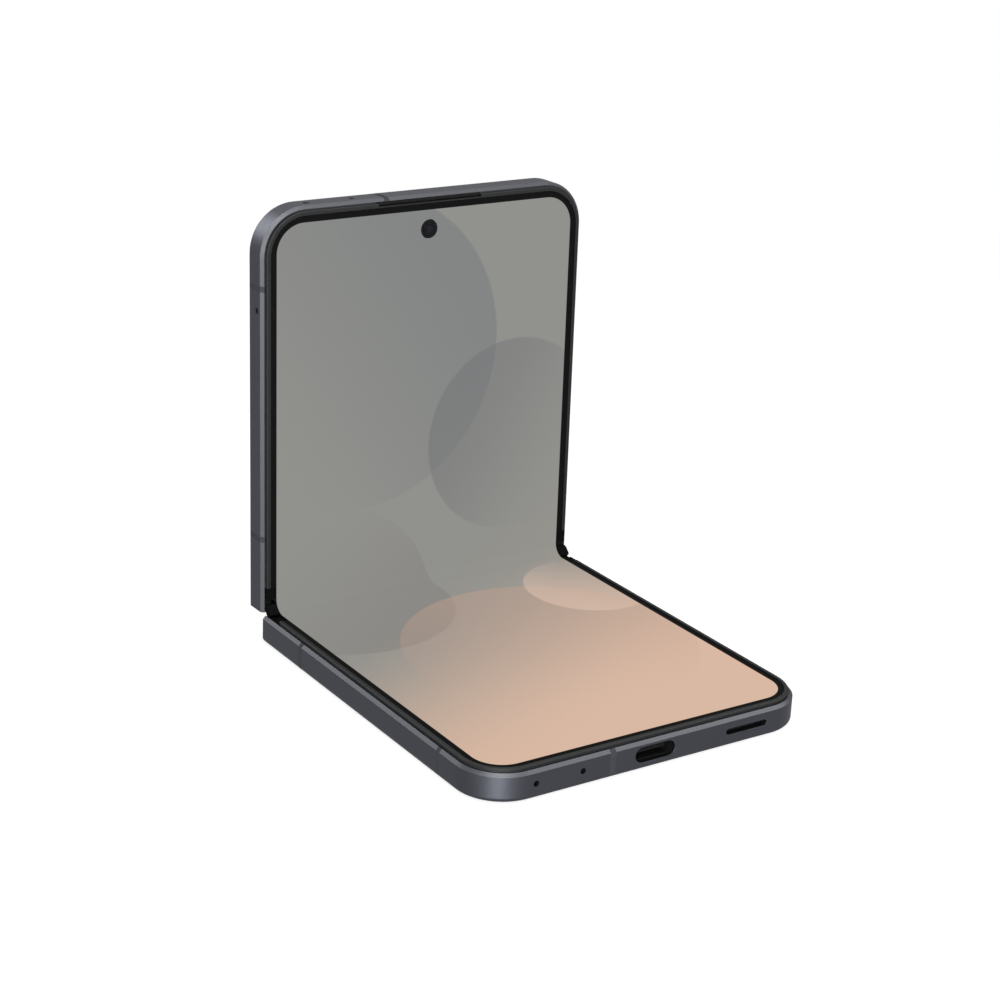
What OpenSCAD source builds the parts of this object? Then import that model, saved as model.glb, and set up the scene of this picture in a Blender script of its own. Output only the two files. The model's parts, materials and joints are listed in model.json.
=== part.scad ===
// Foldable telephone in two halves, joined by a spine that holds a two-axis hinge.
// The lower half lies on its back, the upper half stands up from it, half open.
//
// Each half is drawn flat in its own coordinates: x across, u away from the fold line,
// w up from the face of the display. The spine uses the same x, u and w, with the upper
// half on its +u side. on_lower(), on_upper() and on_spine() put them in place.

/* [Halves] */
// Width across the halves
body_w = 75.2; // [74:0.1:78]
// Length of each half from the fold line to its far end
half_l = 83.35; // [83:0.05:88]
// Thickness of each half from its back to the face of the display
body_t = 6.3; // [6.2:0.1:7]
// Radius of the outer corners
corner_r = 9.5; // [8:0.1:11]
// Distance from the fold line to the fold end of each half, when flat
end_gap = 0.25; // [0.2:0.05:0.5]

/* [Frame] */
// Thickness of the side walls
wall = 2.2; // [2.1:0.1:2.4]
// Bevel along the front edge
bevel = 0.6; // [0.4:0.05:0.8]
// Rounding along the back edge and the fold end
back_round = 1; // [0.6:0.1:1.1]
// Depth of the frame's front edge below the display
rim_drop = 0.5; // [0.35:0.05:0.6]
// Flat on top of the frame's front edge
rim_flat = 0.05; // [0.05:0.05:0.2]
// Thickness of the plate that carries the display
mid_t = 0.5; // [0.4:0.05:0.6]
// Width of an antenna band
band_w = 1.2; // [0.6:0.1:1.5]
// Depth of an antenna band in the wall
band_d = 1.1; // [0.8:0.1:1.3]
// Distance of the bands near the fold from the fold line
band_near = 16; // [14:0.1:20]
// Distance of the far bands from the far end
band_end = 15.65; // [14.5:0.05:16]
// Place across the width of the band in each end wall
band_x = -9.7; // [-11:0.1:-7]

/* [Glass and display] */
// Thickness of the back glass and of the cover glass
glass_t = 0.6; // [0.5:0.05:0.7]
// Inset of the glass from the side
glass_inset = 1.2; // [1.1:0.05:1.4]
// Height of the glass above the frame's back edge
glass_proud = 0.1; // [0.05:0.05:0.2]
// Thickness of the folding display panel
panel_t = 0.45; // [0.35:0.05:0.5]
// Thickness of the metal plate behind the panel
plate_t = 0.25; // [0.15:0.05:0.3]
// Bend radius of the display at rest
bend_r = 2.8; // [2.4:0.1:3.2]
// Distance from the fold line to where the display is bonded
bond_u = 9.8; // [9.8:0.1:10]
// Diameter of the hole for the inner camera
punch_d = 4; // [3:0.1:4.4]
// Distance of the inner camera from the far end
punch_end = 7.05; // [6.4:0.05:7.6]

/* [Bezel] */
// Inset of the raised bezel's outer edge from the side
bezel_out = 0.9; // [0.8:0.05:1]
// Width of the raised bezel
bezel_w = 0.8; // [0.6:0.05:1]
// Height of the bezel above the display
bezel_rise = 0.2; // [0.1:0.05:0.25]
// Width of the bezel's outer lip
bezel_lip = 0.35; // [0.25:0.05:0.4]
// Bevel on the bezel's outer edge
bezel_bevel = 0.15; // [0.05:0.05:0.2]
// Distance from the fold line to the ends of the bezel
bezel_end = 5.6; // [5:0.1:6.4]
// Length of the earpiece slot
ear_l = 24; // [18:0.5:26]
// Width of the earpiece slot, from the frame's front edge inward
ear_w = 0.8; // [0.7:0.05:0.85]

/* [Hinge] */
// Distance of each turning axis from the fold line
pivot_u = 1.4; // [1.35:0.05:1.45]
// Gap between the two bezels when shut
shut_gap = 0.7; // [0.6:0.05:0.8]
// Half the width of the spine
spine_u = 5.4; // [5.35:0.05:5.5]
// Depth of the spine below the display
spine_d = 4.4; // [4.35:0.05:4.5]
// Radius of the spine's outer edges
spine_r = 2.8; // [2.7:0.1:2.9]
// Thickness of the spine cover
spine_wall = 0.5; // [0.45:0.05:0.5]
// Depth of the spine cover's edges below the display
spine_top = 1.9; // [1.9:0.05:1.95]
// Clearance between the spine and the pocket it turns in
sweep_gap = 0.2; // [0.15:0.05:0.25]
// Clearance at each end of the spine
spine_end_gap = 0.2; // [0.15:0.05:0.3]
// Thickness of the brackets' bearing walls
web_t = 0.9; // [0.8:0.05:0.95]
// Length of the synchronising gears
gear_l = 2; // [1.8:0.1:2.1]
// Width of the synchronising arms
arm_l = 1.4; // [1.3:0.1:1.5]
// Width of the rotors
rotor_l = 2.1; // [1.9:0.1:2.2]
// Inner radius of the rotors
rotor_in = 2; // [1.9:0.05:2.05]
// Outer radius of the rotors
rotor_out = 2.7; // [2.6:0.05:2.75]
// Running clearance between turning pieces
fit = 0.05; // [0.03:0.01:0.06]
// Clearance beside turning and sliding pieces
side_gap = 0.15; // [0.12:0.01:0.16]

/* [Gear train] */
// Teeth on each gear
teeth = 12; // [12]
// Pitch radius of each gear
pitch_r = 0.96; // [0.95:0.01:0.97]
// Depth of the gear axes below the display
gear_d = 2.66; // [2.64:0.01:2.68]
// Radius of the gear shafts
shaft_r = 0.4; // [0.34:0.02:0.42]
// Radius of the idler pins
pin_r = 0.3; // [0.25:0.01:0.32]
// Distance of the arm's guide pin from the fold line, when flat
guide_u = 11; // [10.9:0.1:11.1]
// Radius of the guide pin
guide_r = 0.25; // [0.2:0.01:0.26]

/* [Hinge wings] */
// Distance of the wings' ends from the hinge modules
wing_end = 1.3; // [1.2:0.1:4]
// Distance of the wings' free edges from the fold line
wing_u = 1.2; // [1.1:0.1:2]
// Thickness of the wings
wing_t = 0.3; // [0.2:0.05:0.35]
// Radius of the wings' pivot rods
rod_r = 0.3; // [0.25:0.01:0.32]
// Turn of the wings between flat and shut, in degrees
wing_turn = 6.5; // [5:0.5:7]

/* [Openings] */
// Depth below the display of the ports in the end walls
port_d = 3.2; // [3.15:0.05:3.3]
// Depth below the display of the keys
side_d = 3; // [2.9:0.05:3.2]
// Depth below the display of the card tray's face
tray_d = 2.5; // [2.45:0.05:2.7]
// Width of the charging socket's opening
usb_w = 9.1; // [8.9:0.1:9.4]
// Height of the charging socket's opening
usb_h = 3.2; // [3.1:0.05:3.3]
// Diameter of the microphone holes
mic_d = 1.2; // [0.8:0.1:1.3]
// Length of the loudspeaker slot
slot_l = 9.8; // [8:0.2:11]
// Height of the loudspeaker slot
slot_h = 1.3; // [1:0.1:1.6]
// Distance of the loudspeaker slot's middle from the side
slot_side = 16.1; // [15:0.1:17]
// Distance of the outer microphones from the side
mic_side = 11.1; // [10.8:0.1:12]
// Distance between the two microphones of a half
mic_pitch = 10.2; // [9:0.1:11]

/* [Keys and card tray] */
// Length of the power key
power_l = 12; // [9:0.5:13]
// Gap between the power key and the volume rocker
key_space = 3.5; // [2:0.1:8]
// Length of the volume rocker
volume_l = 17; // [14:0.5:17]
// Gap between the volume rocker and the far antenna band
volume_gap = 1.1; // [1:0.1:3]
// Width of both keys
key_w = 2; // [1.6:0.1:2.2]
// Height of the keys above the side
key_proud = 0.45; // [0.3:0.05:0.6]
// Travel of the keys
key_travel = 0.25; // [0.15:0.05:0.3]
// Length of the card tray's face
tray_l = 14.7; // [14.3:0.1:15.5]
// Height of the card tray's face
tray_h = 2.2; // [2:0.1:2.4]
// Gap between the card tray and the far antenna band
tray_gap = 2.95; // [2.5:0.05:3.5]
// Thickness of the card tray
tray_t = 1.15; // [1.05:0.05:1.2]
// Diameter of the eject hole
eject_d = 1.2; // [0.8:0.1:1.3]

/* [Cameras] */
// Outer radius of the camera rings
ring_r = 6.9; // [6.5:0.1:7.2]
// Radius of the cameras' front glass
lens_r = 5.2; // [4.8:0.1:5.4]
// Height of the rings above the cover glass
ring_rise = 1.2; // [0.8:0.1:1.6]
// Place across the width of the camera nearer to the middle
cam_x = 9.4; // [9:0.1:10]
// Distance between the two cameras
cam_pitch = 15.8; // [15.4:0.1:16]
// Distance of the cameras from the far end
cam_end = 11.75; // [11.4:0.05:12.2]
// Width of a camera module
module_w = 11; // [9:0.5:11.5]
// Radius of the lamp
lamp_r = 1.6; // [1.2:0.1:1.8]

/* [Batteries and boards] */
// Distance of the lower battery from the sides
cell_side = 6; // [5:0.1:12]
// Distance of the lower battery from the far end
cell_end = 23.35; // [22.5:0.05:24]
// Thickness of both batteries
cell_t = 3.4; // [3:0.1:3.5]
// Distance of the upper battery from the side with the keys
small_cell_side = 5.8; // [5:0.1:12]
// Distance of the upper battery from the far end
small_cell_end = 38.35; // [37.5:0.05:44]
// Thickness of the circuit boards
board_t = 0.8; // [0.6:0.05:0.9]
// Thickness of the cover display
cover_t = 0.8; // [0.6:0.05:0.9]
// Outer radius of the charging coil
coil_r = 21; // [18:0.5:22]
// Turns of the charging coil
coil_turns = 8; // [4:1:10]
// Radius of the screws' shanks
screw_r = 0.45; // [0.35:0.05:0.5]
// Radius of the screws' heads
head_r = 1; // [0.8:0.05:1.05]
// Height of the screws' heads
head_t = 0.4; // [0.35:0.05:0.45]

/* [Hidden] */
$fn = 48;

// Turn of each half about its own axis, from flat to the rest position
turn = 44.5;
// Reach of a cut past the surface that it opens
past = 1;
// Overlap that joins the pieces of one solid
lap = 0.2;
// Thickness of sheet metal and of cans
sheet = 0.25;

// Levels and edges of a half
disp_t = panel_t + plate_t;
mid_w = -disp_t - mid_t;
rim_back = -body_t + glass_proud;
back_in = -body_t + glass_t;
side_x = body_w / 2;
inner_x = side_x - wall;
inner_l = half_l - wall;
mid_x = side_x - corner_r;
mid_l = half_l - corner_r;
recess = bevel + rim_flat;

// Axes
pivot_w = shut_gap / 2 + bezel_rise - pivot_u;
cam_u = half_l - cam_end;
// How far the upper half's camera rings reach behind the fold line
reach = pivot_u * (2 * cos(turn) - 1) + (cam_u + ring_r - pivot_u) * cos(2 * turn)
    + (body_t + ring_rise + pivot_w) * sin(2 * turn);
fold_y = (half_l - reach) / 2;
shift_x = -key_proud / 2;
lower_axis = [shift_x, fold_y - pivot_u, body_t + pivot_w];
upper_axis = lower_axis + 2 * pivot_u * [0, cos(turn), sin(turn)];
// Level in the spine where the two display faces would meet at rest
meet_w = pivot_w - pivot_w * cos(turn) - (pivot_u + pivot_w * sin(turn)) * tan(turn);

// Spine, in its own coordinates
spine_x = inner_x - spine_end_gap;
cap_x = spine_x - 1;
core_u = spine_u - spine_wall;
core_w = -spine_d + spine_wall;
core_r = spine_r - spine_wall;
block_gap = 0.1;
sweep_r = norm([spine_u - spine_r - pivot_u, -spine_d + spine_r - pivot_w]) + spine_r;
pocket_w = pivot_w - sweep_r - sweep_gap;
pocket_u = spine_u + side_gap * 2;

// Stations of the hinge modules along x, from the end caps inward
module_gap = 0.45;
module_l = 4 * web_t + 7 * side_gap + gear_l + arm_l + 2 * rotor_l;
station_x = cap_x - module_gap - module_l;
gear_x = station_x + web_t + side_gap;
arm_x = gear_x + gear_l + side_gap;
block_x = arm_x + arm_l + side_gap;
upper_rotor_x = block_x + web_t + side_gap;
lower_rotor_x = upper_rotor_x + rotor_l + 2 * side_gap + web_t;
block_end = station_x + module_l;
clip_l = 7;
clip_x = station_x - 1 - clip_l;
clip_rim = 1;
slit = 0.3;
mouth_low = 0.6;

// Shelf that the hinge plates are screwed to
shelf_w = -spine_top + block_gap;
shelf_u = bond_u - lap;
shelf_end = shelf_u + 0.8;
base_u = pocket_u + 0.3;
base_end = 9.2;
base_t = 0.8;
base_x = block_end - web_t;
screw_u = (base_u + base_end) / 2;
screw_l = 1.7;

// Gears, arms and their guides
gear_u = 3 * pitch_r;
tip_r = pitch_r + 0.16;
root_r = pitch_r - 0.2;
tooth_a = 11;
root_share = 0.8;
tip_share = 0.28;
arm_low = spine_top - block_gap;
arm_t = 0.55;
arm_back = 0.3;
post_t = 0.9;
arm_tip = 0.8;
guide_w = -arm_low + arm_t / 2;
drift = [gear_u - pivot_u, -gear_d - pivot_w];
guide_c = [guide_u - drift[0], guide_w - drift[1]];
guide_path = norm(drift);
guide_web = 0.7;
guide_x = block_x + fit;
guide_end = 12.4;
guide_low = -2.7;
screw_xs = [guide_x + guide_web + 1.4, base_x - 1.25];
channel_x = [arm_x - 0.2, guide_x + guide_web + 0.3];
channel_w = guide_low - fit;
channel_end = guide_end + 0.4;
slot_from = -148;
slot_to = -42;
rotor_from = -165;
rotor_to = -20;

// Wings
wing_x = station_x - wing_end;
rod_u = bond_u - 0.8;
wing_w = -disp_t - fit;
rod_w = wing_w - rod_r - 0.1;
lug_x = wing_x + side_gap;
lug_l = 0.9;
lug_back = 0.6;

// Inset of the display panel, inside the bezel's lip
panel_inset = bezel_out + bezel_lip + fit;

// Clearances inside: between close neighbours, between the things on a board, and
// between a battery and the board beyond it
near = 1;
beside = 1.5;
beyond = 3;
glass_fit = 0.05;

// Card and tray, with the rims of the tray before and behind the card
face_t = 1.4;
card = [8.8, 12.3, 0.67];
card_rim = [0.8, 1.3];
tray_depth = face_t + card_rim[0] + card[1] + card_rim[1];
tray_w = 11.4;
tray_shift = -0.9;
tray_drop = 0.4;
eject_in = 1.05;

// Boards, seen from the back, and their screws
board_w = mid_w - lap;
board_back = board_w - board_t;
screw_in = 2.5;
flex_x = 8;
window = [-4.4, -2.2];

// Microphones in both end walls
mic_xs = [mic_side - side_x, mic_side + mic_pitch - side_x];
mic_w = 3.2;
mic_t = 1.4;
mic_h = 1.9;
mic_bore = 0.8;

// Far end of the lower half: vibration motor, board, socket and loudspeaker in a row
battery_u = 15;
bay_u = half_l - cell_end;
cell_x = side_x - cell_side;
coil_u = (battery_u + bay_u) / 2;
coil_w = mid_w - cell_t;
motor_x = 1.8 - inner_x;
motor_w = 9.6;
motor_u = [bay_u + 2, inner_l - 4.15];
slot_x = side_x - slot_side;
speaker_side = 5.8;
speaker_x = [slot_x - speaker_side, inner_x - beyond];
speaker_u = [bay_u + beyond + near, inner_l - beyond];
speaker_low = back_in + 0.4;
duct_l = 3;
face_rim = 2.5;
face_cut = 0.7;
sub_x = [motor_x + motor_w + near, speaker_x[0] - beside];
sub_u = [bay_u + beyond, inner_l - near];
sub_screws = [
    [sub_x[0] + screw_in, sub_u[0] + screw_in],
    [sub_x[1] - screw_in, sub_u[0] + screw_in],
    [sub_x[0] + screw_in, sub_u[1] - screw_in]
];
socket_l = 7.5;
socket_d = 1.2;
port_rim = [0.3, 0.12];
tongue = [6.7, 0.7];
tongue_d = 1.8;
leg_in = 0.8;
leg_out = 2.4;
bay_gap = 1;
ferrite_t = 0.3;
coil_pitch = 1;
wire = 0.6;

// Upper half: board beyond the battery, with an arm beside the cameras
punch_u = half_l - punch_end;
small_battery_u = 14;
small_bay_u = half_l - small_cell_end;
board_x = inner_x - 2.4;
main_u = [small_bay_u + beside, cam_u - module_w / 2 - 2];
arm_end = inner_l - 3.65;
ear_x = -8.5;
ear_in = 6;
receiver = [9.6, 5.9, 2.8];
receiver_u = inner_l - 1.75;
receiver_rim = 1.4;
arm_edge = ear_x - receiver[0] / 2 - beyond;
reader_end = beyond - side_x + tray_depth;
main_screws = [
    [reader_end + beside, main_u[0] + near],
    [board_x - screw_in, main_u[0] + beyond],
    [board_x - screw_in, main_u[1] - screw_in],
    [screw_in - board_x, arm_end - beside]
];
shield_t = [1.7, 1.4];
small_can = [17, 5, 4];
selfie_w = 5.6;
selfie_t = 3;
lamp_w = 3.6;
lamp_t = 1.2;

// End caps, fold of the display and flat cable
cap_u = 1.15;
cap_tip_u = 0.9;
cap_web = 0.35;
cap_top = 0.35;
cap_low = -0.65;
cap_tip_low = -0.4;
cap_tip_top = 0.1;
cap_mid = side_x - recess - fit;
cap_end = side_x - 0.4;
seal_u = 2.85;
seal_top = -0.15;
fold_x = spine_x - cap_web - side_gap;
fold_u0 = pivot_u - (pivot_u + pivot_w * sin(turn)) / cos(turn);
flex_c = 4.05;
flex_r = 7.45;
flex_t = 0.1;
flex_in = 0.4;
// Half the angle of the flat cable's bend, which ends just under the window's top
flex_a = turn + acos((pivot_u * sin(turn) + pivot_w * (1 - cos(turn)) + flex_c * cos(turn)
    - window[1] + flex_in) / flex_r);

// Keys, card reader and cameras
flange_t = 0.5;
flange_w = 0.6;
band_u = half_l - band_end;
volume_u = band_u - band_w / 2 - volume_gap - volume_l / 2;
power_u = volume_u - volume_l / 2 - key_space - power_l / 2;
tray_u = band_u - band_w / 2 - tray_gap - tray_l / 2;
card_at = face_t + card_rim[0] + card[1] / 2 - side_x;
reader_w = tray_w + 1.6;
reader_t = 2.25;
switch_x = inner_x - flange_t - fit - key_travel - fit;
switch_t = 0.8;
switch_l = 2.4;
button_r = 0.8;
button_l = 0.4;
skirt_r = lens_r + 0.4;
skirt_in = lens_r - 0.6;
lens_in = 0.1;
camera_xs = [cam_x + cam_pitch, cam_x];
lamp_x = cam_x - ring_r - lamp_r - beside;

// ---------------------------------------------------------------- placing

module on_lower() {
    translate([shift_x, fold_y, body_t])
        mirror([0, 1, 0])
            children();
}

module on_upper() {
    translate(upper_axis)
        rotate([2 * turn, 0, 0])
            translate([0, -pivot_u, -pivot_w])
                children();
}

module on_spine() {
    translate(lower_axis)
        rotate([turn, 0, 0])
            translate([0, pivot_u, -pivot_w])
                children();
}

module both_sides() {
    children();
    mirror([1, 0, 0])
        children();
}

// ---------------------------------------------------------------- shapes

module box(from, to) {
    translate(from)
        cube(to - from);
}

// A flat shape in u and w, drawn out along x
module along_x(from, to) {
    translate([from, 0, 0])
        rotate([90, 0, 90])
            linear_extrude(to - from)
                children();
}

// A flat shape in x and w, drawn out along u
module along_u(from, to) {
    translate([0, to, 0])
        rotate([90, 0, 0])
            linear_extrude(to - from)
                children();
}

// A flat shape in x and u, drawn out along w
module along_w(from, to) {
    translate([0, 0, from])
        linear_extrude(to - from)
            children();
}

module ring(outer, inner) {
    difference() {
        circle(outer);
        circle(inner);
    }
}

// A wedge of a circle between two angles
module wedge(radius, from, to) {
    polygon(concat([[0, 0]], [
        for (i = [0:4])
            let (a = from + (to - from) * i / 4)
                radius / cos((to - from) / 8) * [cos(a), sin(a)]
    ]));
}

// A slot with round ends, long in its first direction
module stadium(long, high) {
    square([long - high, high], center = true);
    for (s = [-1, 1])
        translate([s * (long - high) / 2, 0])
            circle(high / 2);
}

// Outline of a half, set in from its side, from a given distance along it
module outline(inset, from) {
    translate([inset - side_x, from])
        square([body_w - 2 * inset, mid_l - from]);
    translate([-mid_x, mid_l - lap])
        square([2 * mid_x, corner_r - inset + lap]);
    for (s = [-1, 1])
        translate([s * mid_x, mid_l])
            circle(corner_r - inset);
}

// A section carried along both sides and the far end of a half.
// It is drawn in its distance outward from the corners' centre line, and in w.
module around(from) {
    both_sides() {
        translate([mid_x, 0, 0])
            along_u(from, mid_l)
                children();
        translate([mid_x, mid_l, 0])
            rotate_extrude(angle = 90)
                children();
    }
    translate([0, mid_l, 0])
        along_x(-mid_x, mid_x)
            children();
}

// ---------------------------------------------------------------- frame

module edge_section() {
    difference() {
        polygon([
            [0, rim_back],
            [corner_r, rim_back],
            [corner_r, -rim_drop - bevel],
            [corner_r - bevel, -rim_drop],
            [0, -rim_drop]
        ]);
        back_corner(corner_r);
    }
}

// What the rounding takes from the back corner of a section
module back_corner(edge) {
    difference() {
        translate([edge - back_round, rim_back - past])
            square([back_round + past, back_round + past]);
        translate([edge - back_round, rim_back + back_round])
            circle(back_round);
    }
}

module body_solid() {
    difference() {
        union() {
            around(end_gap)
                edge_section();
            box([-mid_x - lap, end_gap, rim_back], [mid_x + lap, mid_l + lap, -rim_drop]);
        }
        along_x(-side_x - past, side_x + past)
            translate([end_gap, 0])
                mirror([1, 0])
                    back_corner(0);
    }
}

module band_blocks() {
    both_sides()
        for (u = [band_near, band_u])
            box([side_x - band_d, u - band_w / 2, rim_back - past],
                [side_x + past, u + band_w / 2, past]);
    box([band_x - band_w / 2, half_l - band_d, rim_back - past],
        [band_x + band_w / 2, half_l + past, past]);
}

module front_recess() {
    along_w(-disp_t, past)
        outline(recess, end_gap - past);
}

module half_bands() {
    difference() {
        intersection() {
            body_solid();
            band_blocks();
        }
        front_recess();
    }
}

// Everything that both frames have cut away
module half_cuts(board_places) {
    band_blocks();
    front_recess();
    // Pocket that the spine turns in
    box([-inner_x, end_gap - past, pocket_w], [inner_x, pocket_u, past]);
    // Space over the shelf
    box([-inner_x, end_gap - past, shelf_w], [inner_x, shelf_u, past]);
    // Seat of the glass
    along_w(rim_back - past, back_in)
        outline(glass_inset, end_gap + glass_inset);
    // Space for the batteries and boards
    along_w(back_in - lap, mid_w)
        outline(wall, shelf_end);
    // Channels for the synchronising arms, and holes for the screws
    both_sides() {
        box([channel_x[0], pocket_u - past, channel_w], [channel_x[1], channel_end, past]);
        for (x = screw_xs)
            translate([x, screw_u, shelf_w - screw_l - fit])
                cylinder(r = screw_r + fit, h = screw_l + past);
    }
    for (p = board_places)
        translate([p[0], p[1], mid_w - past])
            cylinder(r = screw_r + fit, h = past + mid_t / 2 + fit);
    // Window for the flat cable
    box([-flex_x - past, pocket_u - past, window[0]], [flex_x + past, shelf_end + past, window[1]]);
    for (x = mic_xs)
        end_hole()
            translate([x, -port_d])
                circle(mic_d / 2);
}

// A flat shape in x and w, cut through the far wall
module end_hole() {
    along_u(inner_l - past, half_l + past)
        children();
}

// An opening in the far wall, with a shallow step around its mouth
module port(x, long, high) {
    end_hole()
        translate([x, -port_d])
            stadium(long, high);
    along_u(half_l - port_rim[1], half_l + past)
        translate([x, -port_d])
            stadium(long + port_rim[0], high + port_rim[0]);
}

module wing_lugs() {
    both_sides()
        difference() {
            box([lug_x, rod_u - lug_back, shelf_w - lap], [lug_x + lug_l, shelf_u + lap, -disp_t]);
            rod(rod_r + fit, lug_x - past, lug_x + lug_l + past);
        }
}

// A rod on the axis of a wing
module rod(radius, from, to) {
    along_x(from, to)
        translate([rod_u, rod_w])
            circle(radius);
}

module lower_frame() {
    color("DimGray")
        on_lower() {
            difference() {
                body_solid();
                half_cuts(sub_screws);
                port(0, usb_w, usb_h);
                port(slot_x, slot_l, slot_h);
            }
            wing_lugs();
        }
}

module upper_frame() {
    color("DimGray")
        on_upper() {
            difference() {
                body_solid();
                half_cuts(main_screws);
                // Slots for the keys
                for (k = [[power_u, power_l], [volume_u, volume_l]])
                    translate([0, k[0], -side_d])
                        along_side()
                            stadium(k[1] + 2 * side_gap, key_w + 2 * side_gap);
                // Seat of the tray's face, the way in for the tray, and the eject hole
                tray_side(side_x - face_t - fit, side_x + past)
                    stadium(tray_l + 2 * fit, tray_h + 2 * fit);
                tray_plate()
                    box([face_t - side_x, -tray_w / 2 - side_gap, -tray_t / 2 - side_gap],
                        [past - inner_x, tray_w / 2 + side_gap, tray_t / 2 + side_gap]);
                tray_side(inner_x - past, side_x)
                    eject_hole();
                // Way for the sound from the earpiece to its slot
                box([ear_x - ear_in / 2, inner_l - past, -disp_t - past],
                    [ear_x + ear_in / 2, half_l - recess, -disp_t + lap]);
                // Hole for the inner camera
                translate([0, punch_u, mid_w - past])
                    cylinder(d = punch_d + 2 * fit, h = mid_t + 2 * past);
            }
            wing_lugs();
        }
}

// A flat shape in u and w, cut through the +x wall
module along_side() {
    along_x(inner_x - past, side_x + past)
        children();
}

// A flat shape in u and w about the middle of the tray's face, cut into the -x wall
module tray_side(from, to) {
    translate([0, tray_u, -tray_d])
        mirror([1, 0, 0])
            along_x(from, to)
                children();
}

// Coordinates of the middle of the tray's plate, with x as it is
module tray_plate() {
    translate([0, tray_u + tray_shift, -tray_d - tray_drop])
        children();
}

module eject_hole() {
    translate([tray_l / 2 - eject_in, 0])
        circle(eject_d / 2);
}

module lower_antenna_bands() {
    color("SlateGray")
        on_lower()
            half_bands();
}

module upper_antenna_bands() {
    color("SlateGray")
        on_upper()
            half_bands();
}

// ---------------------------------------------------------------- glass

module glass() {
    along_w(-body_t, back_in)
        outline(glass_inset + glass_fit, end_gap + glass_inset + glass_fit);
}

module lower_back_glass() {
    color("SlateGray")
        on_lower()
            glass();
}

module cover_glass() {
    color("Black")
        on_upper()
            difference() {
                glass();
                for (x = camera_xs)
                    translate([x, cam_u, -body_t - past])
                        cylinder(r = skirt_r + fit, h = glass_t + 2 * past);
                translate([lamp_x, cam_u, -body_t - past])
                    cylinder(r = lamp_r + fit, h = glass_t + 2 * past);
            }
}

module cover_display() {
    color("Black")
        on_upper()
            box([-board_x, shelf_end + near / 2, back_in],
                [board_x, main_u[1] - near, back_in + cover_t]);
}

// ---------------------------------------------------------------- display

module half_panel(from, to) {
    along_w(from, to)
        outline(panel_inset, bond_u);
}

module lower_display() {
    color("Gray")
        on_lower()
            half_panel(-panel_t, 0);
}

module lower_display_plate() {
    color("Silver")
        on_lower()
            half_panel(-disp_t, -panel_t);
}

module upper_display() {
    color("Gray")
        on_upper()
            difference() {
                half_panel(-panel_t, 0);
                punch();
            }
}

module upper_display_plate() {
    color("Silver")
        on_upper()
            difference() {
                half_panel(-disp_t, -panel_t);
                punch();
            }
}

module punch() {
    translate([0, punch_u, -disp_t - past])
        cylinder(d = punch_d, h = disp_t + 2 * past);
}

module bezel_section() {
    edge = corner_r - bezel_out;
    polygon([
        [edge - bezel_lip, -disp_t],
        [edge, -disp_t],
        [edge, bezel_rise - bezel_bevel],
        [edge - bezel_bevel, bezel_rise],
        [edge - bezel_w, bezel_rise],
        [edge - bezel_w, 0],
        [edge - bezel_lip, 0]
    ]);
}

module lower_bezel() {
    color("DimGray")
        on_lower()
            around(bezel_end)
                bezel_section();
}

module upper_bezel() {
    color("DimGray")
        on_upper()
            difference() {
                around(bezel_end)
                    bezel_section();
                // Slot for the earpiece
                box([-ear_l / 2, half_l - recess - ear_w, -disp_t - past],
                    [ear_l / 2, half_l, bezel_rise + past]);
            }
}

// Seals that fill a half's front edge between the end cap of the spine and the bezel
module fold_seals() {
    both_sides()
        box([spine_x - cap_web, seal_u, -disp_t], [cap_mid, bezel_end - fit, seal_top]);
}

module lower_fold_seals() {
    color("Black")
        on_lower()
            fold_seals();
}

module upper_fold_seals() {
    color("Black")
        on_upper()
            fold_seals();
}

// ---------------------------------------------------------------- hinge, on the halves

module hinge_plate(rotor_x) {
    difference() {
        union() {
            along_x(rotor_x, rotor_x + rotor_l) {
                translate([pivot_u, pivot_w])
                    intersection() {
                        ring(rotor_out, rotor_in);
                        wedge(rotor_out + past, rotor_from, rotor_to);
                    }
                translate([pivot_u + rotor_in - lap, shelf_w])
                    square([base_end - pivot_u - rotor_in, base_t]);
            }
            box([guide_x, base_u, shelf_w], [base_x, base_end, shelf_w + base_t]);
            box([guide_x, base_u, guide_low], [guide_x + guide_web, guide_end, -disp_t - fit]);
        }
        // Curved slot for the guide pin
        along_x(guide_x - past, guide_x + guide_web)
            translate(guide_c)
                intersection() {
                    ring(guide_path + guide_r + fit, guide_path - guide_r - fit);
                    wedge(guide_path + past, slot_from, slot_to);
                }
        for (x = screw_xs)
            translate([x, screw_u, shelf_w]) {
                translate([0, 0, -past])
                    cylinder(r = screw_r + fit, h = base_t + 2 * past);
                translate([0, 0, base_t - head_t])
                    cylinder(r = head_r + fit, h = head_t + past);
            }
    }
}

module lower_hinge_plates() {
    color("Silver")
        on_lower()
            both_sides()
                hinge_plate(lower_rotor_x);
}

module upper_hinge_plates() {
    color("Silver")
        on_upper()
            both_sides()
                hinge_plate(upper_rotor_x);
}

// A screw whose head stands up from a level, with its shank below
module screw(shank) {
    translate([0, 0, -shank])
        cylinder(r = screw_r, h = shank + lap);
    cylinder(r = head_r, h = head_t);
}

module plate_screws() {
    both_sides()
        for (x = screw_xs)
            translate([x, screw_u, shelf_w + base_t - head_t])
                screw(screw_l + base_t - head_t);
}

module board_screws(places) {
    for (p = places)
        translate([p[0], p[1], board_back])
            mirror([0, 0, 1])
                screw(board_t + lap + mid_t / 2);
}

module lower_screws() {
    color("LightGray")
        on_lower() {
            plate_screws();
            board_screws(sub_screws);
        }
}

module upper_screws() {
    color("LightGray")
        on_upper() {
            plate_screws();
            board_screws(main_screws);
        }
}

// ---------------------------------------------------------------- inside the lower half

module lower_battery() {
    color("DarkSlateGray")
        on_lower()
            box([-cell_x, battery_u, mid_w - cell_t], [cell_x, bay_u, mid_w]);
}

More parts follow.
